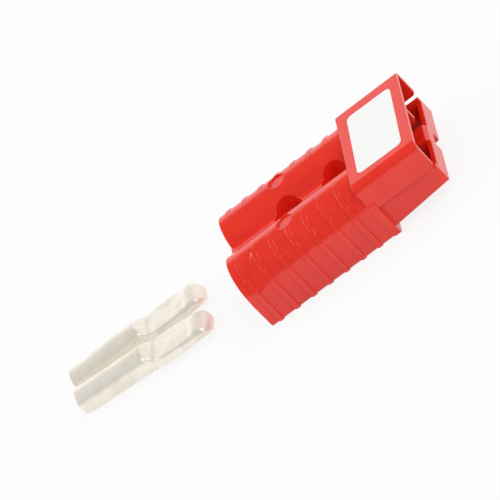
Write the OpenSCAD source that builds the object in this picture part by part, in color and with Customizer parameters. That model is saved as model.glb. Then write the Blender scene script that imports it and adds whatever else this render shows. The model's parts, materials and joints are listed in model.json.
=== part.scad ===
// Two-pole genderless power connector: one moulded housing, two leaf springs,
// a front label and the two crimp contacts lying behind it.
// +Y points out of the mating end, +X is the right-hand pole, +Z is up.
// The origin is on the flat underside, midway along and across the housing.

/* [Housing] */
// Length of the housing from the cable end to the mating end
housing_l = 110; // [104:0.5:118]
// Width of the housing between the grip ribs
housing_w = 70; // [69:0.5:73]
// Height of the housing from the underside to the label face
housing_h = 33.5; // [33:0.25:35]
// Distance between the two poles
pole_pitch = 37; // [36.5:0.25:37.5]
// Radius of each round barrel
barrel_r = 16.5; // [16:0.25:17]
// Height of the flat web between the barrels
web_top = 26; // [24.5:0.5:27.5]
// Edge radius along the underside of the barrels
base_edge_r = 2; // [1:0.25:3]

/* [Mating end] */
// Length of the raised front block
hood_l = 36.8; // [36:0.2:38]
// Depth of the mating cavity in front of the barrels
cavity_l = 33; // [32:0.25:34]
// Radius of the long top edges of the front block
hood_edge_r = 4.3; // [3.5:0.1:4.6]
// Thickness of the hood at its front edge
hood_t_front = 2; // [1.8:0.1:2.4]
// Thickness of the hood at the back of the cavity
hood_t_back = 4.9; // [4.6:0.1:5.2]
// Gap between the hood walls and the tongue walls at the middle plane
split_gap = 1.1; // [0.8:0.1:1.6]
// Thickness of the keying rib under the hood
rib_t = 2.2; // [1.8:0.1:2.8]
// Height of the keying rib's lower edge above the underside
rib_bottom = 24; // [23.6:0.1:25]

/* [Tongue] */
// Height of the tongue's underside at the barrels
tongue_z_back = 2.6; // [2.4:0.1:3]
// Height of the tongue's underside at the mating end
tongue_z_front = 5.3; // [5:0.1:5.6]
// Width of the tongue at the barrels
tongue_w_back = 65.2; // [65:0.1:65.4]
// Width of the tongue at the mating end
tongue_w_front = 64.4; // [64:0.1:64.6]
// Width of each contact pocket
pocket_w = 22.8; // [21.5:0.1:23]
// Height of the pocket floor above the underside
pocket_floor = 8; // [7.6:0.1:8.4]
// Thickness of the lip in front of each pocket
lip_t = 2.8; // [2:0.1:3.4]
// Height of that lip's top above the underside
lip_top = 14.1; // [13.4:0.1:14.8]
// Width of the keying slot under the tongue
slot_w = 9.4; // [8.6:0.1:9.8]
// Height of the keying slot's roof above the underside
slot_roof = 9.9; // [9.8:0.1:10.4]

/* [Grip ribs] */
// Number of grip ribs on each side, the front flange among them
rib_count = 8; // [6:1:9]
// Distance from the cable end to the middle of the first rib
rib_first = 5.6; // [4.5:0.1:7]
// Width of one rib along the housing
rib_w = 2.6; // [2:0.1:3]
// How far the ribs stand out of the sides
rib_h = 1.1; // [0.6:0.1:1.4]

/* [Holes] */
// Radius of the cable entries
entry_r = 11.5; // [11:0.25:12]
// Depth of the cable entries
entry_l = 24; // [20:0.5:26]
// Radius of the channels for the contact barrels
channel_r = 8.25; // [7.75:0.25:8.75]
// Radius of the two mounting holes
mount_hole_r = 3.5; // [2.75:0.25:4]
// Radius of the recesses around the mounting holes
recess_r = 8; // [7.5:0.25:8.25]
// Height of the floor of those recesses
recess_floor = 20.5; // [20.25:0.25:22]
// Distance between the mounting holes
mount_pitch = 28.5; // [28:0.5:29]
// Distance from the cable end to the first mounting hole
mount_first = 34.5; // [34:0.5:35]

/* [Contacts] */
// Overall length of one contact
contact_l = 78.5; // [76:0.5:82]
// Outer radius of the crimp barrel
crimp_r = 6.9; // [6.5:0.1:7.2]
// Wall of the crimp barrel
crimp_wall = 1.9; // [1.4:0.1:2.2]
// Length of the round crimp barrel
crimp_l = 42; // [38:0.5:44]
// Width of the contact blade
blade_w = 19.8; // [18.5:0.1:20]
// Thickness of the contact blade
blade_t = 5.4; // [4.8:0.1:5.6]
// How far the blade's top lies above the axis of the crimp barrel
blade_rise = 1.5; // [1:0.1:1.8]
// How far the nose rises above the blade
nose_rise = 1; // [0.6:0.1:1.4]

/* [Hidden] */
$fn = 96;
eps = 0.01;
cut = 1;

housing_red = [0.86, 0.16, 0.11];
silver = [0.86, 0.84, 0.80];
steel = [0.62, 0.63, 0.65];
label_white = [0.96, 0.96, 0.95];

y_back = -housing_l / 2;
y_front = housing_l / 2;
y_cavity = y_front - cavity_l;
y_hood = y_front - hood_l;
half_w = housing_w / 2;
mid_z = housing_h / 2;
pole_x = pole_pitch / 2;

hood_wall_z = mid_z + split_gap / 2;
tongue_top = mid_z - split_gap / 2;
divider_top = mid_z - 0.35;
divider_half = pole_x - pocket_w / 2;
divider_chamfer = 1.6;
mating_play = 0.2;
hood_in_front = tongue_w_back / 2 + mating_play;
hood_in_back = tongue_w_front / 2 + mating_play;
corner_r = 2;
tongue_edge_r = 1.6;

rib_pitch = (housing_l - cavity_l - rib_w / 2 - rib_first) / (rib_count - 0.9);
flange_l = y_cavity - y_hood;
blade_slot_w = blade_w + 1;
blade_slot_low = blade_t - blade_rise + 0.6;
blade_slot_high = blade_rise + nose_rise + 0.4;
entry_chamfer = 1.2;

dimple_r = 4.7;
dimple_deep = 1.4;
dimple_y = y_back + 35;

shoulder_l = 5;
crimp_floor = 2;
blade_y = crimp_l + shoulder_l;
blade_top = crimp_r + blade_rise;
blade_bottom = blade_top - blade_t;
nose_r = 7.6;
ramp_r = 10;
nose_corner_r = 4;

label_l = 25.8;
label_w = 51;
label_t = 0.15;
label_r = 3;
label_x = 1.2;
label_y = y_front - 18.2;
label_turn = -1;

spring_w = 12;
spring_t = 1;
spring_l = 26;
spring_foot_l = 10;
spring_rise = 4;
spring_turn_up = 3.5;

left_contact_x = -25;
left_contact_y = y_back - 110.2;
left_contact_turn = 0.8;
right_contact_x = -6.6;
right_contact_y = y_back - 108.6;
right_contact_turn = -5.8;

// Runs a profile drawn in X and Z from y0 to y1.
module along_y(y0, y1) {
    translate([0, y1, 0]) rotate([90, 0, 0]) linear_extrude(y1 - y0) children();
}

// Runs a profile drawn in Y and Z across the part, from x0 to x1.
module along_x(x0, x1) {
    translate([x0, 0, 0]) rotate([90, 0, 90]) linear_extrude(x1 - x0) children();
}

module at_poles() {
    for (side = [-1, 1]) translate([side * pole_x, 0, 0]) children();
}

// Rectangle from corner to corner whose four corners are round.
module round_rect(x0, z0, x1, z1, r) {
    translate([x0 + r, z0]) square([x1 - x0 - 2 * r, z1 - z0]);
    translate([x0, z0 + r]) square([x1 - x0, z1 - z0 - 2 * r]);
    for (x = [x0 + r, x1 - r], z = [z0 + r, z1 - r]) translate([x, z]) circle(r);
}

// Outline of one side of the barrels; grow moves its outer flank outwards.
module barrel_side(grow = 0) {
    translate([pole_x + grow, mid_z]) circle(barrel_r);
    round_rect(-base_edge_r, 0, pole_x + barrel_r + grow, mid_z + base_edge_r, base_edge_r);
    translate([0, base_edge_r]) square([pole_x, web_top - base_edge_r]);
}

module barrel_outline(grow = 0) {
    barrel_side(grow);
    mirror([1, 0]) barrel_side(grow);
}

// Front block: round long edges on top, open below the middle plane.
module hood_outline() {
    intersection() {
        round_rect(-half_w, hood_wall_z - 2 * hood_edge_r, half_w, housing_h, hood_edge_r);
        translate([-half_w, hood_wall_z]) square([housing_w, housing_h]);
    }
}

// Side view of the hood wall, whose lower front corner is round.
module hood_wall_trim() {
    difference() {
        translate([y_front - corner_r, hood_wall_z - eps]) square([corner_r + eps, corner_r + eps]);
        translate([y_front - corner_r, hood_wall_z + corner_r]) circle(corner_r);
    }
}

module hood() {
    difference() {
        along_y(y_hood, y_front) hood_outline();
        hood_cavity();
        along_x(-half_w - cut, half_w + cut) hood_wall_trim();
    }
    keying_rib();
}

// Space for the mate's tongue: it widens towards the front in plan and in side view.
module hood_cavity() {
    intersection() {
        along_x(-half_w, half_w) polygon([
            [y_cavity, hood_wall_z - cut],
            [y_front + cut, hood_wall_z - cut],
            [y_front + cut, housing_h - hood_t_front],
            [y_front, housing_h - hood_t_front],
            [y_cavity, housing_h - hood_t_back]
        ]);
        translate([0, 0, hood_wall_z - cut]) linear_extrude(housing_h) polygon([
            [-hood_in_back, y_cavity], [hood_in_back, y_cavity],
            [hood_in_front, y_front + cut], [-hood_in_front, y_front + cut]
        ]);
    }
}

module keying_rib() {
    along_x(-rib_t / 2, rib_t / 2) {
        translate([y_cavity - cut, rib_bottom + corner_r])
            square([cavity_l + cut - eps, housing_h - hood_t_front - rib_bottom - corner_r + cut]);
        translate([y_cavity - cut, rib_bottom]) square([cavity_l + cut - corner_r, corner_r + eps]);
        translate([y_front - corner_r, rib_bottom + corner_r]) circle(corner_r);
    }
}

// Cross-section of the tongue at one end, as a thin slice for the loft.
module tongue_slice(y, w, z) {
    along_y(y - eps, y) difference() {
        round_rect(-w / 2, z, w / 2, tongue_top + 2 * tongue_edge_r, tongue_edge_r, $fn = 32);
        translate([-w, tongue_top]) square([2 * w, housing_h]);
    }
}

module tongue_block() {
    hull() {
        tongue_slice(y_cavity, tongue_w_back, tongue_z_back);
        tongue_slice(y_front, tongue_w_front, tongue_z_front);
    }
    translate([-divider_half, y_cavity - eps, tongue_top - cut])
        cube([2 * divider_half, cavity_l + eps, divider_top - tongue_top + cut]);
}

module contact_pocket() {
    translate([-pocket_w / 2, y_cavity - eps, pocket_floor])
        cube([pocket_w, cavity_l - lip_t + eps, housing_h]);
    translate([-pocket_w / 2, y_front - lip_t - eps, lip_top])
        cube([pocket_w, lip_t + cut, housing_h]);
}

module tongue() {
    difference() {
        tongue_block();
        intersection() {
            at_poles() contact_pocket();
            translate([-half_w, y_cavity - cut, 0]) cube([housing_w, housing_l, divider_top + cut]);
        }
        translate([-slot_w / 2, y_cavity, -cut]) cube([slot_w, cavity_l + cut, slot_roof + cut]);
        along_x(-divider_half, divider_half) polygon([
            [y_front - divider_chamfer, divider_top + eps],
            [y_front + eps, divider_top - divider_chamfer],
            [y_front + eps, divider_top + eps]
        ]);
    }
}

// Grip ribs are short lengths of the same outline with the flank moved outwards.
module grip_ribs() {
    for (i = [0 : rib_count - 2]) {
        y = y_back + rib_first + i * rib_pitch;
        along_y(y - rib_w / 2, y + rib_w / 2) barrel_outline(rib_h);
    }
    along_y(y_hood, y_cavity) barrel_outline(rib_h);
}

// Passage for one pole, from the cable entry to the pocket.
module pole_passage() {
    along_y(y_back - cut, y_back + entry_l) translate([0, mid_z]) circle(entry_r);
    along_y(y_back, y_cavity + eps) translate([0, mid_z]) circle(channel_r);
    along_y(y_back, y_cavity + eps) translate([-blade_slot_w / 2, mid_z - blade_slot_low])
        square([blade_slot_w, blade_slot_low + blade_slot_high]);
    translate([0, y_back - eps, mid_z]) rotate([-90, 0, 0])
        cylinder(h = entry_chamfer, r1 = entry_r + entry_chamfer, r2 = entry_r);
}

module mounting_holes() {
    for (y = [y_back + mount_first, y_back + mount_first + mount_pitch]) translate([0, y, 0]) {
        translate([0, 0, -cut]) cylinder(h = housing_h + cut, r = mount_hole_r);
        translate([0, 0, recess_floor]) cylinder(h = housing_h, r = recess_r);
    }
}

module polarity_dimples() {
    at_poles() translate([0, dimple_y, mid_z + barrel_r - dimple_deep])
        cylinder(h = housing_h, r = dimple_r);
}

module housing() {
    color(housing_red) {
        difference() {
            union() {
                along_y(y_back, y_cavity) barrel_outline();
                grip_ribs();
                hood();
            }
            at_poles() pole_passage();
            mounting_holes();
            polarity_dimples();
        }
        tongue();
    }
}

module label() {
    color(label_white)
        translate([label_x, label_y, housing_h]) rotate([0, 0, label_turn]) linear_extrude(label_t)
            round_rect(-label_w / 2, -label_l / 2, label_w / 2, label_l / 2, label_r);
}

// Flat strip that lies on the pocket floor, turns up at the lip and arches at the free end.
module leaf_spring() {
    end_y = y_front - lip_t;
    foot_y = end_y - spring_foot_l;
    arch_l = spring_l - spring_foot_l;
    arch_r = (arch_l * arch_l / 4 + spring_rise * spring_rise) / (2 * spring_rise);
    along_x(-spring_w / 2, spring_w / 2) {
        translate([foot_y - spring_t, pocket_floor]) square([spring_foot_l + spring_t, spring_t]);
        translate([end_y - spring_t, pocket_floor]) square([spring_t, spring_turn_up]);
        intersection() {
            translate([foot_y - arch_l / 2, pocket_floor + spring_rise - arch_r]) difference() {
                circle(arch_r);
                circle(arch_r - spring_t);
            }
            translate([foot_y - arch_l, pocket_floor]) square([arch_l, spring_rise + spring_t]);
        }
    }
}

module spring_left() {
    color(steel) translate([-pole_x, 0, 0]) leaf_spring();
}

module spring_right() {
    color(steel) translate([pole_x, 0, 0]) leaf_spring();
}

// Side view of the blade: flat top, then a ramp up to the round nose.
module blade_side_view() {
    nose_y = contact_l - nose_r;
    nose_z = blade_top + nose_rise - nose_r;
    ramp_dz = blade_top + ramp_r - nose_z;
    ramp_dy = sqrt((ramp_r + nose_r) * (ramp_r + nose_r) - ramp_dz * ramp_dz);
    ramp_y = nose_y - ramp_dy;
    ramp_l = ramp_dy * ramp_r / (ramp_r + nose_r);
    ramp_h = ramp_r - ramp_dz * ramp_r / (ramp_r + nose_r);
    translate([blade_y - eps, blade_bottom]) square([nose_y - blade_y + eps, blade_t]);
    intersection() {
        translate([nose_y, nose_z]) circle(nose_r);
        translate([ramp_y, blade_bottom]) square([contact_l, contact_l]);
    }
    difference() {
        translate([ramp_y, blade_bottom]) square([ramp_l, blade_t + ramp_h]);
        translate([ramp_y, blade_top + ramp_r]) circle(ramp_r);
    }
}

// Plan view of the blade, with round corners at the nose.
module blade_plan() {
    translate([-blade_w / 2, 0]) square([blade_w, contact_l - nose_corner_r]);
    round_rect(-blade_w / 2, blade_y, blade_w / 2, contact_l, nose_corner_r);
}

// One contact pressed from tube: round crimp barrel, shoulder and flattened blade.
// It points along +Y with the barrel's rear end at y = 0 and rests on z = 0.
module crimp_contact() {
    color(silver) difference() {
        union() {
            translate([0, 0, crimp_r]) rotate([-90, 0, 0]) cylinder(h = crimp_l, r = crimp_r);
            hull() {
                translate([0, crimp_l - eps, crimp_r]) rotate([-90, 0, 0])
                    cylinder(h = eps, r = crimp_r, $fn = 48);
                translate([-blade_w / 2, blade_y - eps, blade_bottom]) cube([blade_w, eps, blade_t]);
            }
            intersection() {
                along_x(-blade_w / 2, blade_w / 2) blade_side_view();
                linear_extrude(housing_h) blade_plan();
            }
        }
        translate([0, -cut, crimp_r]) rotate([-90, 0, 0])
            cylinder(h = crimp_l - crimp_floor + cut, r = crimp_r - crimp_wall);
    }
}

module contact_left() {
    translate([left_contact_x, left_contact_y, 0]) rotate([0, 0, left_contact_turn]) crimp_contact();
}

module contact_right() {
    translate([right_contact_x, right_contact_y, 0]) rotate([0, 0, right_contact_turn]) crimp_contact();
}

housing();
label();
spring_left();
spring_right();
contact_left();
contact_right();
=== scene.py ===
"""Studio scene of a two-pole genderless power connector and its two loose contacts.

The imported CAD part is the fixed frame. Each sub-assembly is a class that takes its
shape from that frame, rounds the edges as moulding or pressing leaves them, and
dresses the piece in its finish. Lengths are in metres, angles in degrees.
"""

import json
import logging
import math
from collections.abc import Mapping
from dataclasses import dataclass, field
from enum import Enum
from typing import Any

import bmesh
import bpy
from mathutils import Matrix, Quaternion, Vector
from mathutils.bvhtree import BVHTree
from mathutils.geometry import intersect_point_line
from mathutils.kdtree import KDTree


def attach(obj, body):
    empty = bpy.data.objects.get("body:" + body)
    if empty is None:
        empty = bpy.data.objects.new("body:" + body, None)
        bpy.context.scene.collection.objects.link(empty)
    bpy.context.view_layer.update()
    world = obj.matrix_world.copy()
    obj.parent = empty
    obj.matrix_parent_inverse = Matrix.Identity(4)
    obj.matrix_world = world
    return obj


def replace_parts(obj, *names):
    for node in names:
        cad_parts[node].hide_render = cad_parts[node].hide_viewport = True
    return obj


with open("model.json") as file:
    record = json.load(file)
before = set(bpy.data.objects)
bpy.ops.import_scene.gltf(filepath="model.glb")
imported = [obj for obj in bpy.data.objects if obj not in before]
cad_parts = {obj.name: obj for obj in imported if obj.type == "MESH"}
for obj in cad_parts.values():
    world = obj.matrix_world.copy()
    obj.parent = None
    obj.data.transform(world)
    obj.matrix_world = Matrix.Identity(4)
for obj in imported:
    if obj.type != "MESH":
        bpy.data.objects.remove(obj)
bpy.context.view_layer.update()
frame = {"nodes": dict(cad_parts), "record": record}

log = logging.getLogger("connector_scene")

Colour = tuple[float, float, float]
MM = 0.001
# How many times the edges are rounded before the rest is accepted.
MOST_TRIES = 4
# Distances from the sharp surface, as shares of the rounding's width: beyond the
# first a point has strayed, beyond the second it is put back.
STRAY_SHARE = 0.8
PULL_SHARE = 0.5
# The area above which a folded triangle counts.
LEAST_FOLD = 0.1 * MM * MM
# Nearly coincident points of the CAD mesh's loose triangles.
WELD = 0.002 * MM
FLAT_ANGLE = math.radians(0.1)
# The room between a convex and a concave edge that goes to the concave one, and
# between two edges of one kind.
FOOT_SHARE = 0.25
EVEN_SHARE = 0.5
# Two edges run side by side where they are this parallel and this far aside.
PARALLEL = 0.94
SIDEWAYS = 0.7


class Pole(Enum):
    """The two poles, named for the side they lie on when the mating end points away."""

    LEFT = "left"
    RIGHT = "right"


class Grain(Enum):
    """How a noise pattern is drawn out along the piece."""

    EVEN = (1.0, 1.0, 1.0)
    ALONG = (1.0, 0.06, 1.0)


# ---------------------------------------------------------------- shader maths


class Value:
    """A shader socket that adds Math nodes when Python arithmetic is done on it."""

    def __init__(self, graph: "Graph", socket: bpy.types.NodeSocket) -> None:
        """Wraps a socket.

        Args:
            graph: The graph that the socket's node is in.
            socket: An output socket that carries a number.
        """
        self.graph = graph
        self.socket = socket

    def _math(self, operation: str, first: Any, second: Any) -> "Value":
        """Adds one Math node.

        Args:
            operation: The node's operation, such as ADD.
            first: The first operand, a number or a Value.
            second: The second operand, a number or a Value.

        Returns:
            The node's output.
        """
        return self.graph.value(
            "ShaderNodeMath", {"operation": operation}, {0: first, 1: second}
        )

    def __add__(self, other: Any) -> "Value":
        """Returns self + other."""
        return self._math("ADD", self, other)

    def __radd__(self, other: Any) -> "Value":
        """Returns other + self."""
        return self._math("ADD", other, self)

    def __sub__(self, other: Any) -> "Value":
        """Returns self - other."""
        return self._math("SUBTRACT", self, other)

    def __rsub__(self, other: Any) -> "Value":
        """Returns other - self."""
        return self._math("SUBTRACT", other, self)

    def __mul__(self, other: Any) -> "Value":
        """Returns self * other."""
        return self._math("MULTIPLY", self, other)

    def __rmul__(self, other: Any) -> "Value":
        """Returns other * self."""
        return self._math("MULTIPLY", other, self)

    def at_most(self, limit: float) -> "Value":
        """Returns the smaller of self and limit."""
        return self._math("MINIMUM", self, limit)


class Graph:
    """The node graph of one material or world."""

    def __init__(self, tree: bpy.types.NodeTree) -> None:
        """Empties a node tree and keeps it.

        Args:
            tree: The tree to build in.
        """
        self.tree = tree
        self.tree.nodes.clear()

    def node(
        self,
        kind: str,
        settings: Mapping[str, Any] | None = None,
        inputs: Mapping[Any, Any] | None = None,
    ) -> bpy.types.Node:
        """Adds a node, sets it up and fills its sockets.

        Args:
            kind: The node's type.
            settings: Its own settings, set first.
            inputs: Socket name or number to a value, a Value or an output socket.

        Returns:
            The node.
        """
        node = self.tree.nodes.new(kind)
        for name, setting in (settings or {}).items():
            setattr(node, name, setting)
        for name, given in (inputs or {}).items():
            if isinstance(given, Value):
                given = given.socket
            if isinstance(given, bpy.types.NodeSocket):
                self.tree.links.new(given, node.inputs[name])
            elif node.inputs[name].type == "RGBA":
                node.inputs[name].default_value = (*given[:3], 1.0)
            else:
                node.inputs[name].default_value = given
        return node

    def value(
        self,
        kind: str,
        settings: Mapping[str, Any] | None = None,
        inputs: Mapping[Any, Any] | None = None,
        output: int | str = 0,
    ) -> Value:
        """Adds a node and returns one output as a Value.

        Args:
            kind: The node's type.
            settings: As for node.
            inputs: As for node.
            output: The name or number of the output.

        Returns:
            The wrapped output.
        """
        return Value(self, self.node(kind, settings, inputs).outputs[output])

    def noise(self, size: float, grain: Grain = Grain.EVEN, detail: float = 3.0) -> Value:
        """Adds a noise pattern on the piece's own coordinates.

        Args:
            size: The width of one blotch.
            grain: How the pattern is drawn out.
            detail: Octaves of finer noise.

        Returns:
            The noise, from 0 to 1.
        """
        place = self.node("ShaderNodeTexCoord").outputs["Object"]
        drawn = self.node(
            "ShaderNodeMapping", inputs={"Vector": place, "Scale": grain.value}
        )
        return self.value(
            "ShaderNodeTexNoise",
            inputs={
                "Vector": drawn.outputs["Vector"],
                "Scale": 1.0 / size,
                "Detail": detail,
            },
            output="Fac",
        )

    def band(self, value: Value, low: float, high: float) -> Value:
        """Stretches part of a value's range to the range from 0 to 1.

        Args:
            value: The value to stretch.
            low: What becomes 0.
            high: What becomes 1.

        Returns:
            The stretched value.
        """
        return self.value(
            "ShaderNodeMapRange",
            {"interpolation_type": "SMOOTHSTEP"},
            {"Value": value, "From Min": low, "From Max": high},
        )

    def blend(self, factor: Any, first: Any, second: Any) -> bpy.types.NodeSocket:
        """Mixes two colours.

        Args:
            factor: A number or Value from 0, all first, to 1, all second.
            first: A colour, or a socket that carries one.
            second: A colour, or a socket that carries one.

        Returns:
            The mixed colour's socket.
        """
        mixed = self.node(
            "ShaderNodeMix", {"data_type": "RGBA"}, {0: factor, 6: first, 7: second}
        )
        return mixed.outputs[2]

    def bump(
        self, height: Any, distance: float, below: bpy.types.NodeSocket | None = None
    ) -> bpy.types.NodeSocket:
        """Adds a Bump node.

        Args:
            height: The height, from 0 to 1.
            distance: How high a height of 1 stands.
            below: The normal of a coarser bump that this one lies on.

        Returns:
            The bent normal's socket.
        """
        inputs = {"Height": height, "Distance": distance}
        if below is not None:
            inputs["Normal"] = below
        return self.node("ShaderNodeBump", inputs=inputs).outputs["Normal"]


# -------------------------------------------------------------------- finishes


@dataclass(frozen=True)
class Finish:
    """A finish of one kind of surface, as a Principled material."""

    name: str
    colour: Colour
    roughness: float
    metallic: float = 0.0

    def material(self) -> bpy.types.Material:
        """Makes the Blender material.

        Returns:
            The material, ready to assign.
        """
        made = bpy.data.materials.new(self.name)
        made.use_nodes = True
        made.diffuse_color = (*self.colour, 1.0)
        graph = Graph(made.node_tree)
        shader = graph.node(
            "ShaderNodeBsdfPrincipled", inputs={"Metallic": self.metallic}
        )
        for socket, given in self.surface(graph).items():
            if isinstance(given, Value):
                given = given.socket
            if isinstance(given, bpy.types.NodeSocket):
                graph.tree.links.new(given, shader.inputs[socket])
            else:
                shader.inputs[socket].default_value = given
        graph.node(
            "ShaderNodeOutputMaterial", inputs={"Surface": shader.outputs["BSDF"]}
        )
        return made

    def surface(self, graph: Graph) -> dict[str, Any]:
        """Builds what changes over the surface.

        Args:
            graph: The material's graph.

        Returns:
            The Principled shader's socket names and what goes into them.
        """
        raise NotImplementedError


@dataclass(frozen=True)
class MouldedPlastic(Finish):
    """Glossy moulded plastic with flow marks and a faint orange peel."""

    deep: Colour = (0.70, 0.014, 0.006)
    cloud: float = 14 * MM
    flow: float = 2.2 * MM
    peel: float = 0.9 * MM
    peel_height: float = 0.012 * MM
    ior: float = 1.58
    cloud_share: float = 0.3
    gloss_change: float = 0.12
    flow_share: float = 0.5

    def surface(self, graph: Graph) -> dict[str, Any]:
        """Builds the pigment's clouds, the flow marks and the peel.

        Args:
            graph: The material's graph.

        Returns:
            Base colour, roughness and normal.
        """
        clouds = graph.band(graph.noise(self.cloud), 0.35, 0.65)
        flow = graph.noise(self.flow, Grain.ALONG)
        colour = graph.blend(clouds * self.cloud_share, self.colour, self.deep)
        peel = graph.noise(self.peel, detail=1.0) + flow * self.flow_share
        return {
            "Base Color": colour,
            "Roughness": self.roughness + (flow - 0.5) * self.gloss_change,
            "Normal": graph.bump(peel, self.peel_height),
            "IOR": self.ior,
        }


@dataclass(frozen=True)
class PlatedMetal(Finish):
    """Silver-plated copper with drawing lines, cloudy tarnish and handling marks."""

    tarnish: Colour = (0.80, 0.73, 0.60)
    cloud: float = 9 * MM
    line: float = 0.5 * MM
    line_height: float = 0.008 * MM
    ripple: float = 4 * MM
    ripple_height: float = 0.05 * MM
    grain: float = 0.35 * MM
    grain_share: float = 1.0
    cloud_share: float = 0.45
    cloud_dulling: float = 0.10
    gloss_change: float = 0.12

    def surface(self, graph: Graph) -> dict[str, Any]:
        """Builds the tarnish, the drawing lines and the slight unevenness.

        Args:
            graph: The material's graph.

        Returns:
            Base colour, roughness and normal.
        """
        clouds = graph.band(graph.noise(self.cloud), 0.4, 0.7)
        lines = graph.noise(self.line, Grain.ALONG, detail=2.0)
        ripples = graph.noise(self.ripple, detail=1.0)
        low = graph.bump(ripples, self.ripple_height)
        scratches = lines + graph.noise(self.grain) * self.grain_share
        return {
            "Base Color": graph.blend(
                clouds * self.cloud_share, self.colour, self.tarnish
            ),
            "Roughness": self.roughness
            + clouds * self.cloud_dulling
            + (lines - 0.5) * self.gloss_change,
            "Normal": graph.bump(scratches, self.line_height, low),
        }


@dataclass(frozen=True)
class SpringSteel(Finish):
    """Rolled spring steel, brushed along its length."""

    line: float = 0.35 * MM
    line_height: float = 0.004 * MM
    cloud: float = 6 * MM
    stain: Colour = (0.42, 0.40, 0.38)
    stain_share: float = 0.4
    gloss_change: float = 0.2

    def surface(self, graph: Graph) -> dict[str, Any]:
        """Builds the rolling lines.

        Args:
            graph: The material's graph.

        Returns:
            Base colour, roughness and normal.
        """
        lines = graph.noise(self.line, Grain.ALONG, detail=2.0)
        clouds = graph.band(graph.noise(self.cloud), 0.5, 0.75)
        return {
            "Base Color": graph.blend(clouds * self.stain_share, self.colour, self.stain),
            "Roughness": self.roughness + (lines - 0.5) * self.gloss_change,
            "Normal": graph.bump(lines, self.line_height),
        }


@dataclass(frozen=True)
class VinylLabel(Finish):
    """White satin label stock with a faint fibre and slightly grey clouds in the white."""

    shade: Colour = (0.89, 0.89, 0.88)
    fibre: float = 0.6 * MM
    fibre_height: float = 0.006 * MM
    cloud: float = 11 * MM
    cloud_share: float = 0.25
    gloss_change: float = 0.15

    def surface(self, graph: Graph) -> dict[str, Any]:
        """Builds the fibre and the cloudiness of the white.

        Args:
            graph: The material's graph.

        Returns:
            Base colour, roughness and normal.
        """
        fibre = graph.noise(self.fibre, detail=4.0)
        clouds = graph.band(graph.noise(self.cloud), 0.4, 0.7)
        return {
            "Base Color": graph.blend(clouds * self.cloud_share, self.colour, self.shade),
            "Roughness": self.roughness + (fibre - 0.5) * self.gloss_change,
            "Normal": graph.bump(fibre, self.fibre_height),
        }


# ---------------------------------------------------------------- mesh helpers


def deselect_all() -> None:
    """Deselects every object, because an operator acts on all that is selected."""
    bpy.ops.object.select_all(action="DESELECT")


def activate(piece: bpy.types.Object) -> None:
    """Makes one object the only selected and the active one.

    Args:
        piece: The object.
    """
    deselect_all()
    piece.select_set(True)
    bpy.context.view_layer.objects.active = piece


def merged_copy(node: str, name: str) -> bpy.types.Object:
    """Copies a CAD node's mesh and joins its loose triangles into whole faces.

    Args:
        node: The CAD node.
        name: The new piece's name.

    Returns:
        The new piece, in the node's place.
    """
    piece = bpy.data.objects.new(name, frame["nodes"][node].data.copy())
    bpy.context.scene.collection.objects.link(piece)
    activate(piece)
    bpy.ops.mesh.customdata_custom_splitnormals_clear()
    bpy.ops.object.mode_set(mode="EDIT")
    bpy.ops.mesh.select_all(action="SELECT")
    bpy.ops.mesh.remove_doubles(threshold=WELD)
    bpy.ops.mesh.dissolve_limited(angle_limit=FLAT_ANGLE)
    bpy.ops.mesh.vert_connect_concave()
    bpy.ops.object.mode_set(mode="OBJECT")
    return piece


def round_edges(piece: bpy.types.Object, width: float, segments: int, angle: float) -> None:
    """Rounds every edge that is sharper than an angle, as widely as there is room for.

    Where roundings would still run through each other, the edges that meet there
    are left sharp, and the rest is rounded again.

    Args:
        piece: The piece.
        width: The width of a rounding that has room.
        segments: Faces across the rounding.
        angle: The least angle, in degrees, of an edge that is rounded.
    """
    sharp_mesh = piece.data.copy()
    weights = rounding_weights(sharp_mesh, math.radians(angle), width)
    for _ in range(MOST_TRIES):
        piece.data = sharp_mesh.copy()
        layer = piece.data.attributes.new("bevel_weight_edge", "FLOAT", "EDGE")
        layer.data.foreach_set("value", weights)
        activate(piece)
        bevel = piece.modifiers.new("edge rounding", "BEVEL")
        bevel.width = width
        bevel.segments = segments
        bevel.limit_method = "WEIGHT"
        bevel.use_clamp_overlap = False
        bpy.ops.object.modifier_apply(modifier=bevel.name)
        strayed = strayed_points(piece.data, sharp_mesh, width)
        log.info("%s: %d points strayed", piece.name, len(strayed))
        if not strayed:
            break
        for index in edges_near(sharp_mesh, strayed, width):
            weights[index] = 0.0
    pull_back(piece.data, sharp_mesh, PULL_SHARE * width)


def surface_of(mesh: bpy.types.Mesh) -> BVHTree:
    """Makes a tree in which the nearest point of a mesh's surface is found.

    Args:
        mesh: The mesh.

    Returns:
        The tree.
    """
    whole = bmesh.new()
    whole.from_mesh(mesh)
    surface = BVHTree.FromBMesh(whole)
    whole.free()
    return surface


def pull_back(mesh: bpy.types.Mesh, sharp_mesh: bpy.types.Mesh, reach: float) -> None:
    """Puts points that a rounding pushed too far back on the sharp surface.

    Args:
        mesh: The rounded mesh.
        sharp_mesh: The mesh before rounding.
        reach: How far from the sharp surface a point may lie.
    """
    surface = surface_of(sharp_mesh)
    spots = [vertex.co for vertex in sharp_mesh.vertices]
    low = [min(spot[axis] for spot in spots) for axis in range(3)]
    high = [max(spot[axis] for spot in spots) for axis in range(3)]
    for vertex in mesh.vertices:
        hit, _, _, distance = surface.find_nearest(vertex.co)
        held = Vector(
            min(most, max(least, at)) for least, at, most in zip(low, vertex.co, high)
        )
        vertex.co = hit if distance > reach else held


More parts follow.
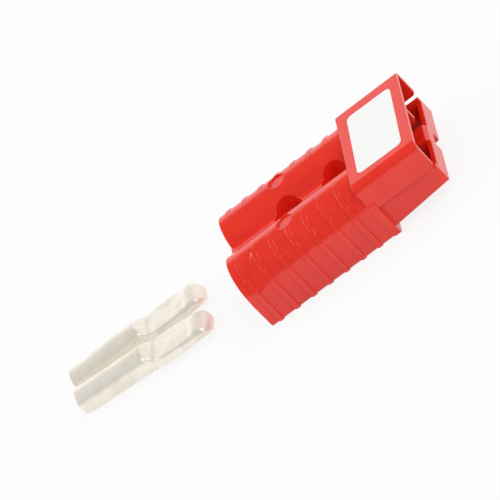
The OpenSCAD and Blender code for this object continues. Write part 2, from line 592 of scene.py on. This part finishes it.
def rounding_weights(mesh: bpy.types.Mesh, angle: float, width: float) -> list[float]:
    """Finds how widely each of a mesh's sharp edges can be rounded.

    Args:
        mesh: The mesh.
        angle: The least angle, in radians, between the faces of a sharp edge.
        width: The width of a rounding that has room.

    Returns:
        The share of the width for each edge, 0 for one that isn't sharp.
    """
    whole = bmesh.new()
    whole.from_mesh(mesh)
    sharp = [edge for edge in whole.edges if edge.calc_face_angle(0.0) > angle]
    spots: list[tuple[Vector, Vector, bool]] = []
    for edge in sharp:
        first, second = (vertex.co for vertex in edge.verts)
        steps = max(1, math.ceil(edge.calc_length() / width))
        along = (second - first).normalized()
        spots += [
            (first.lerp(second, (step + 0.5) / steps), along, edge.is_convex)
            for step in range(steps)
        ]
    tree = KDTree(len(spots))
    for index, (spot, _, _) in enumerate(spots):
        tree.insert(spot, index)
    tree.balance()
    weights = [0.0] * len(whole.edges)
    for edge in sharp:
        first, second = (vertex.co for vertex in edge.verts)
        along, middle = (second - first).normalized(), (first + second) / 2
        room = width
        for spot, index, reach in tree.find_range(middle, width / FOOT_SHARE):
            _, other_along, other_convex = spots[index]
            aside = (spot - middle) - along * (spot - middle).dot(along)
            beside = abs(along.dot(other_along)) > PARALLEL
            if beside and aside.length > SIDEWAYS * reach:
                share = EVEN_SHARE
                if edge.is_convex != other_convex:
                    share = 1.0 - FOOT_SHARE if edge.is_convex else FOOT_SHARE
                room = min(room, share * reach)
        weights[edge.index] = room / width
    whole.free()
    return weights


def strayed_points(
    mesh: bpy.types.Mesh, sharp_mesh: bpy.types.Mesh, width: float
) -> list[Vector]:
    """Finds where a rounded mesh has left the sharp one's surface or folded over.

    Args:
        mesh: The rounded mesh.
        sharp_mesh: The mesh before rounding.
        width: The width of the rounding.

    Returns:
        The nearest point on the sharp mesh to each vertex that strayed or folded.
    """
    surface = surface_of(sharp_mesh)
    strayed: list[Vector] = []
    for vertex in mesh.vertices:
        hit = surface.find_nearest(vertex.co)[0]
        if (vertex.co - hit).length > STRAY_SHARE * width:
            strayed.append(hit)
    mesh.calc_loop_triangles()
    for triangle in mesh.loop_triangles:
        face = mesh.polygons[triangle.polygon_index]
        if triangle.area > LEAST_FOLD and triangle.normal.dot(face.normal) < 0.0:
            strayed += [
                surface.find_nearest(mesh.vertices[i].co)[0] for i in triangle.vertices
            ]
    return strayed


def edges_near(mesh: bpy.types.Mesh, points: list[Vector], reach: float) -> list[int]:
    """Finds the edges that pass near any of some points.

    Args:
        mesh: The edges' mesh.
        points: The points.
        reach: How near is near.

    Returns:
        The edges' indices.
    """
    tree = KDTree(len(points))
    for index, point in enumerate(points):
        tree.insert(point, index)
    tree.balance()
    found: list[int] = []
    for edge in mesh.edges:
        first, second = (mesh.vertices[i].co for i in edge.vertices)
        around = (second - first).length / 2 + reach
        for point, _, _ in tree.find_range((first + second) / 2, around):
            share = intersect_point_line(point, first, second)[1]
            nearest = first.lerp(second, min(1.0, max(0.0, share)))
            if (nearest - point).length < reach:
                found.append(edge.index)
                break
    return found


def smooth(piece: bpy.types.Object, angle: float) -> None:
    """Shades a piece smooth, and weighs the normals by face area.

    Args:
        piece: The piece.
        angle: The angle above which an edge stays sharp.
    """
    activate(piece)
    bpy.ops.object.shade_smooth_by_angle(angle=math.radians(angle))
    weighing = piece.modifiers.new("weighted normals", "WEIGHTED_NORMAL")
    weighing.keep_sharp = True
    bpy.ops.object.modifier_apply(modifier=weighing.name)


def dress(piece: bpy.types.Object, finish: Finish) -> None:
    """Gives a piece its material.

    Args:
        piece: The piece.
        finish: Its finish.
    """
    piece.data.materials.clear()
    piece.data.materials.append(finish.material())


def report(piece: bpy.types.Object) -> None:
    """Logs one finished piece.

    Args:
        piece: The piece.
    """
    triangles = sum(len(face.vertices) - 2 for face in piece.data.polygons)
    log.info("%s: %d triangles", piece.name, triangles)


# -------------------------------------------------------------- sub-assemblies


@dataclass
class Housing:
    """The moulded housing: two round barrels, the web, the hood and the tongue."""

    edge_radius: float = 0.45 * MM
    edge_segments: int = 3
    sharp_angle: float = 28.0
    finish: Finish = field(
        default_factory=lambda: MouldedPlastic(
            "red moulded plastic", colour=(0.86, 0.027, 0.010), roughness=0.17
        )
    )

    def build(self) -> bpy.types.Object:
        """Builds the housing with its mould's rounded edges.

        Returns:
            The dressed housing.
        """
        shell = merged_copy("housing", "moulded_housing")
        round_edges(shell, self.edge_radius, self.edge_segments, self.sharp_angle)
        smooth(shell, 40.0)
        dress(shell, self.finish)
        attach(shell, "root")
        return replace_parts(shell, "housing")


@dataclass
class Label:
    """The blank label on top of the hood."""

    edge_radius: float = 0.05 * MM
    finish: Finish = field(
        default_factory=lambda: VinylLabel(
            "white vinyl", colour=(0.94, 0.94, 0.93), roughness=0.42
        )
    )

    def build(self) -> bpy.types.Object:
        """Builds the label with a softened edge.

        Returns:
            The dressed label.
        """
        sheet = merged_copy("label", "blank_label")
        round_edges(sheet, self.edge_radius, 2, 60.0)
        smooth(sheet, 30.0)
        dress(sheet, self.finish)
        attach(sheet, "root")
        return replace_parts(sheet, "label")


@dataclass
class LeafSpring:
    """One retaining spring in the floor of a contact pocket."""

    pole: Pole
    edge_radius: float = 0.12 * MM
    finish: Finish = field(
        default_factory=lambda: SpringSteel(
            "spring steel", colour=(0.60, 0.60, 0.59), roughness=0.3, metallic=1.0
        )
    )

    def build(self) -> bpy.types.Object:
        """Builds the spring with its sheared edges broken.

        Returns:
            The dressed spring.
        """
        node = f"spring_{self.pole.value}"
        leaf = merged_copy(node, f"leaf_{node}")
        round_edges(leaf, self.edge_radius, 2, 50.0)
        smooth(leaf, 35.0)
        dress(leaf, self.finish)
        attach(leaf, "root")
        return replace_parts(leaf, node)


def ease(share: float) -> float:
    """Eases a share from 0 to 1 in and out.

    Args:
        share: The share, held to the range from 0 to 1.

    Returns:
        The eased share.
    """
    held = min(1.0, max(0.0, share))
    return held * held * (3.0 - 2.0 * held)


@dataclass(frozen=True)
class Section:
    """One cross-section of pressed tube: a rectangle with round corners."""

    along: float
    half_width: float
    low: float
    high: float
    corner: float

    def points(self, corner_steps: int, side_steps: int) -> list[Vector]:
        """Lays points round the section, the same number for every section.

        Args:
            corner_steps: Faces round one corner.
            side_steps: Faces along one straight side.

        Returns:
            The points, starting at the right-hand side.
        """
        half_height = (self.high - self.low) / 2
        corner = min(self.corner, 0.96 * half_height, 0.96 * self.half_width)
        inner_x, inner_z = self.half_width - corner, half_height - corner
        middle = (self.high + self.low) / 2
        ring: list[Vector] = []
        for quarter, (side_x, side_z) in enumerate(((1, 1), (-1, 1), (-1, -1), (1, -1))):
            centre = Vector((side_x * inner_x, self.along, middle + side_z * inner_z))
            for step in range(corner_steps + 1):
                turn = math.radians(90) * (quarter + step / corner_steps)
                ring.append(
                    centre + corner * Vector((math.cos(turn), 0, math.sin(turn)))
                )
        whole: list[Vector] = []
        for quarter in range(4):
            first = quarter * (corner_steps + 1)
            whole += ring[first : first + corner_steps + 1]
            last, following = whole[-1], ring[(first + corner_steps + 1) % len(ring)]
            whole += [
                last.lerp(following, step / side_steps) for step in range(1, side_steps)
            ]
        return whole


@dataclass
class Contact:
    """One contact pressed from tube: crimp barrel, shoulder and blade."""

    pole: Pole
    length: float = 78.5 * MM
    tube_radius: float = 6.9 * MM
    tube_flat: float = 0.7 * MM
    bore_radius: float = 5.0 * MM
    bore_depth: float = 40.0 * MM
    rim: float = 0.6 * MM
    shoulder_start: float = 39.4 * MM
    shoulder_end: float = 46.2 * MM
    shoulder_step: float = 0.4 * MM
    blade_half_width: float = 9.9 * MM
    widening_end: float = 51.0 * MM
    nose_half_width: float = 9.0 * MM
    blade_low: float = 3.0 * MM
    blade_high: float = 8.4 * MM
    blade_corner: float = 1.2 * MM
    ramp_radius: float = 10.0 * MM
    nose_rise: float = 0.8 * MM
    nose_radius: float = 7.6 * MM
    nose_corner: float = 5.0 * MM
    nose_start: float = 60.0 * MM
    nose_edge: float = 2.8 * MM
    rim_shares: tuple[float, ...] = (1.0, 0.6, 0.3, 0.08, 0.0)
    bore_lean: float = 0.5
    lip_length: float = 0.12 * MM
    corner_haste: float = 1.6
    tube_shares: tuple[float, ...] = (0.2, 0.4, 0.6, 0.8, 0.99)
    shoulder_steps: int = 24
    blade_steps: int = 60
    nose_steps: int = 21
    nose_step_angle: float = 4.0
    corner_steps: int = 10
    side_steps: int = 5
    finish: Finish = field(
        default_factory=lambda: PlatedMetal(
            "silver plate", colour=(1.0, 0.945, 0.845), roughness=0.29, metallic=0.36
        )
    )

    def _high(self, along: float) -> float:
        """Gives the height of the top at a place along the contact.

        Args:
            along: The distance from the contact's rear end.

        Returns:
            The height above the underside of the tube.
        """
        nose_along = self.length - self.nose_radius
        nose_centre = self.blade_high + self.nose_rise - self.nose_radius
        ramp_centre = self.blade_high + self.ramp_radius
        reach = self.ramp_radius + self.nose_radius
        ramp_along = nose_along - math.sqrt(reach**2 - (ramp_centre - nose_centre) ** 2)
        meet = nose_along - (nose_along - ramp_along) * self.nose_radius / reach
        if along >= meet:
            drop = self.nose_radius**2 - (along - nose_along) ** 2
            return nose_centre + math.sqrt(max(0.0, drop))
        if along >= ramp_along:
            return ramp_centre - math.sqrt(self.ramp_radius**2 - (along - ramp_along) ** 2)
        tube_high = 2 * self.tube_radius
        return tube_high + (self.blade_high - tube_high) * self._pressed(along)

    def _pressed(self, along: float) -> float:
        """Gives how far the tube is pressed flat, from 0 to 1.

        Args:
            along: The distance from the contact's rear end.

        Returns:
            0 for round tube, 1 for the flat blade.
        """
        if along <= self.shoulder_start:
            return 0.0
        lip = self.shoulder_step / (2 * self.tube_radius - self.blade_high)
        span = self.shoulder_end - self.shoulder_start
        return lip + (1.0 - lip) * ease((along - self.shoulder_start) / span)

    def _half_width(self, along: float) -> float:
        """Gives half the width, with the nose's round corners in plan.

        Args:
            along: The distance from the contact's rear end.

        Returns:
            Half the width.
        """
        share = (along - self.shoulder_start) / (self.widening_end - self.shoulder_start)
        width = self.tube_radius + (self.blade_half_width - self.tube_radius) * ease(share)
        share = (along - self.nose_start) / (self.length - self.nose_start)
        width -= (self.blade_half_width - self.nose_half_width) * ease(share)
        into_corner = along - (self.length - self.nose_corner)
        if into_corner > 0.0:
            width -= self.nose_corner - math.sqrt(
                max(0.0, self.nose_corner**2 - into_corner**2)
            )
        return width

    def _section(self, along: float) -> Section:
        """Gives the outer section at a place along the contact.

        Args:
            along: The distance from the contact's rear end.

        Returns:
            The section.
        """
        pressed = self._pressed(along)
        tube_corner = self.tube_radius - self.tube_flat
        nose_span = self.length - self.nose_radius - self.nose_start
        into_nose = (along - self.nose_start) / nose_span
        return Section(
            along,
            self._half_width(along),
            self.blade_low * pressed,
            self._high(along),
            tube_corner
            + (self.blade_corner - tube_corner) * ease(self.corner_haste * pressed)
            + (self.nose_edge - self.blade_corner) * ease(into_nose),
        )

    def _tube_section(self, along: float, radius: float) -> Section:
        """Gives a section of plain tube.

        Args:
            along: The distance from the contact's rear end.
            radius: The radius of the bore or of the outside.

        Returns:
            The section.
        """
        flat = self.tube_flat * radius / self.tube_radius
        middle = self.tube_radius
        return Section(along, radius, middle - radius, middle + radius, radius - flat)

    def _sections(self) -> list[Section]:
        """Lists the sections from the bore's end, round the rear rim and to the nose.

        Returns:
            The sections in order.
        """
        rim, inner, outer = self.rim, self.bore_radius, self.tube_radius
        sections = [self._tube_section(self.bore_depth, inner)]
        leans = [
            (share * rim, rim * (1.0 - math.sqrt(1.0 - (1.0 - share) ** 2)))
            for share in self.rim_shares
        ]
        for along, lean in leans:
            sections.append(self._tube_section(along, inner + lean * self.bore_lean))
        for along, lean in reversed(leans):
            sections.append(self._tube_section(along, outer - lean))
        for along in self._stations():
            sections.append(self._section(along))
        return sections

    def _stations(self) -> list[float]:
        """Lists the places along the contact where its outside has a section.

        Returns:
            The distances from the rear end, in order.
        """
        stations = [share * self.shoulder_start for share in self.tube_shares]
        stations += [self.shoulder_start, self.shoulder_start + self.lip_length]
        nose_along = self.length - self.nose_radius
        for first, last, steps in (
            (self.shoulder_start, self.shoulder_end, self.shoulder_steps),
            (self.shoulder_end, nose_along, self.blade_steps),
        ):
            span = last - first
            stations += [first + span * step / steps for step in range(1, steps + 1)]
        for step in range(1, self.nose_steps + 1):
            turn = math.radians(self.nose_step_angle * step)
            stations.append(nose_along + self.nose_radius * math.sin(turn))
        return stations

    def _placement(self) -> Matrix:
        """Reads where the contact lies from the record's crimp socket.

        Returns:
            The turn and shift from the contact's own frame to the part's.
        """
        name = f"crimp_socket_{self.pole.value}"
        mounts = frame["record"]["mounts"]
        socket = next(mount for mount in mounts if mount["name"] == name)
        towards_nose = -Vector(socket["axis"])
        turn = math.atan2(-towards_nose.x, towards_nose.y)
        rear = Vector(socket["pos_m"]) - towards_nose * self.bore_depth / 2
        rear.z = 0.0
        return Matrix.Translation(rear) @ Matrix.Rotation(turn, 4, "Z")

    def build(self) -> bpy.types.Object:
        """Builds the contact section by section, with the soft edges of pressed tube.

        Returns:
            The dressed contact.
        """
        node = f"contact_{self.pole.value}"
        place = self._placement()
        rings = [
            [place @ point for point in section.points(self.corner_steps, self.side_steps)]
            for section in self._sections()
        ]
        count = len(rings[0])
        faces = [
            (
                row * count + step,
                row * count + (step + 1) % count,
                (row + 1) * count + (step + 1) % count,
                (row + 1) * count + step,
            )
            for row in range(len(rings) - 1)
            for step in range(count)
        ]
        last = (len(rings) - 1) * count
        faces += [tuple(range(count)), tuple(range(last, last + count))]
        mesh = bpy.data.meshes.new(f"pressed_{node}")
        mesh.from_pydata([point for ring in rings for point in ring], [], faces)
        pressing = bpy.data.objects.new(f"pressed_{node}", mesh)
        bpy.context.scene.collection.objects.link(pressing)
        activate(pressing)
        bpy.ops.object.mode_set(mode="EDIT")
        bpy.ops.mesh.select_all(action="SELECT")
        bpy.ops.mesh.normals_make_consistent(inside=False)
        bpy.ops.object.mode_set(mode="OBJECT")
        smooth(pressing, 50.0)
        dress(pressing, self.finish)
        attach(pressing, "root")
        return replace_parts(pressing, node)


# ---------------------------------------------------------------------- studio


@dataclass(frozen=True)
class SoftBox:
    """One square lamp that faces the set."""

    name: str
    direction: tuple[float, float, float]
    distance: float
    size: float
    radiance: float

    def build(self, target: Vector) -> bpy.types.Object:
        """Hangs the lamp.

        Args:
            target: The point that it faces.

        Returns:
            The lamp.
        """
        data = bpy.data.lights.new(self.name, "AREA")
        data.shape = "SQUARE"
        data.size = self.size
        data.energy = self.radiance * math.pi * self.size**2
        lamp = bpy.data.objects.new(self.name, data)
        bpy.context.scene.collection.objects.link(lamp)
        back = Vector(self.direction).normalized()
        lamp.location = target + back * self.distance
        lamp.rotation_mode = "QUATERNION"
        lamp.rotation_quaternion = back.to_track_quat("Z", "Y")
        return lamp


@dataclass
class Studio:
    """The pale floor, the white surround, the lamps and the camera."""

    target: tuple[float, float, float] = (-0.00838, -0.05010, 0.017)
    azimuth: float = 17.419
    elevation: float = 27.310
    roll: float = -45.03
    distance: float = 2.1032
    lens: float = 319.09
    clip_start: float = 0.05
    clip_end: float = 20.0
    floor_size: float = 6.0
    floor_drop: float = 0.02 * MM
    floor_glow: float = 0.85
    surround: float = 0.68
    dark_side: float = 0.25
    dark_above: tuple[float, float] = (0.48, 0.60)
    dark_beyond: tuple[float, float] = (-0.3, 0.1)
    floor_white: float = 0.9
    boxes: tuple[SoftBox, ...] = (
        SoftBox("high mating side box", (-0.25, 0.54, 0.80), 1.6, 0.55, 3.0),
        SoftBox("small mating side lamp", (0.05, 0.62, 0.77), 1.6, 0.18, 14.0),
        SoftBox("low mating side box", (0.51, 0.70, 0.50), 1.6, 0.32, 10.5),
        SoftBox("high cable side box", (-0.45, -0.74, 0.50), 1.6, 0.70, 2.7),
        SoftBox("low cable side box", (0.16, -0.86, 0.48), 1.6, 0.65, 2.7),
    )

    def build(self) -> None:
        """Builds everything round the part."""
        self._build_floor()
        self._build_surround()
        for box in self.boxes:
            box.build(Vector(self.target))
        self._build_camera()
        bpy.context.scene.view_settings.view_transform = "Standard"

    @staticmethod
    def _seen(graph: Graph) -> Value:
        """Tells rays that show the background from rays that light the part.

        Args:
            graph: The graph to build in.

        Returns:
            1 for camera, glossy and transmission rays, and 0 for the others.
        """
        path = graph.node("ShaderNodeLightPath").outputs
        seen = Value(graph, path["Is Camera Ray"]) + Value(graph, path["Is Glossy Ray"])
        return (seen + Value(graph, path["Is Transmission Ray"])).at_most(1.0)

    def _build_floor(self) -> None:
        """Lays the floor, which shows white and keeps a faint shadow."""
        deselect_all()
        bpy.ops.mesh.primitive_plane_add(
            size=self.floor_size, location=(0, 0, -self.floor_drop)
        )
        floor = bpy.context.object
        floor.name = "studio_floor"
        made = bpy.data.materials.new("floor white")
        made.use_nodes = True
        graph = Graph(made.node_tree)
        white = (self.floor_white,) * 3
        matt = graph.node("ShaderNodeBsdfDiffuse", inputs={"Color": white})
        glow = graph.node(
            "ShaderNodeEmission", inputs={"Color": (1, 1, 1), "Strength": 1.0}
        )
        shown = graph.node(
            "ShaderNodeMixShader",
            inputs={
                0: self._seen(graph) * self.floor_glow,
                1: matt.outputs[0],
                2: glow.outputs[0],
            },
        )
        graph.node("ShaderNodeOutputMaterial", inputs={"Surface": shown.outputs[0]})
        floor.data.materials.append(made)

    def _build_surround(self) -> None:
        """Gives the world a white that is dimmer where it lights matt surfaces."""
        world = bpy.data.worlds.new("white surround")
        world.use_nodes = True
        graph = Graph(world.node_tree)
        aim = graph.node("ShaderNodeTexCoord").outputs["Generated"]
        parts = graph.node("ShaderNodeSeparateXYZ", inputs={"Vector": aim}).outputs
        low = 1.0 - graph.band(Value(graph, parts["Z"]), *self.dark_above)
        far = 1.0 - graph.band(Value(graph, parts["X"]), *self.dark_beyond)
        mirrored = self.dark_side + low * far * (1.0 - self.dark_side)
        path = graph.node("ShaderNodeLightPath").outputs
        camera = Value(graph, path["Is Camera Ray"])
        glossy = Value(graph, path["Is Glossy Ray"])
        mirror = (glossy + Value(graph, path["Is Transmission Ray"])).at_most(1.0)
        matt = 1.0 - camera - mirror
        strength = camera + mirror * mirrored + matt * self.surround
        glow = graph.node(
            "ShaderNodeBackground", inputs={"Color": (1, 1, 1), "Strength": strength}
        )
        graph.node("ShaderNodeOutputWorld", inputs={"Surface": glow.outputs[0]})
        bpy.context.scene.world = world

    def _build_camera(self) -> None:
        """Sets up the camera on the part's upper right-hand mating side."""
        azimuth, elevation = math.radians(self.azimuth), math.radians(self.elevation)
        back = Vector(
            (
                math.cos(elevation) * math.cos(azimuth),
                math.cos(elevation) * math.sin(azimuth),
                math.sin(elevation),
            )
        )
        data = bpy.data.cameras.new("studio camera")
        data.lens = self.lens
        data.clip_start, data.clip_end = self.clip_start, self.clip_end
        camera = bpy.data.objects.new("studio camera", data)
        bpy.context.scene.collection.objects.link(camera)
        camera.location = Vector(self.target) + back * self.distance
        camera.rotation_mode = "QUATERNION"
        level = back.to_track_quat("Z", "Y")
        camera.rotation_quaternion = level @ Quaternion((0, 0, 1), math.radians(self.roll))
        bpy.context.scene.camera = camera


def main() -> None:
    """Builds the pieces in order, then the studio."""
    logging.basicConfig(level=logging.INFO, format="%(name)s %(message)s")
    pieces: list[Any] = [Housing(), Label()]
    for pole in Pole:
        pieces += [LeafSpring(pole), Contact(pole)]
    for piece in pieces:
        report(piece.build())
    Studio().build()
    bpy.context.view_layer.update()


if __name__ == "__main__":
    main()
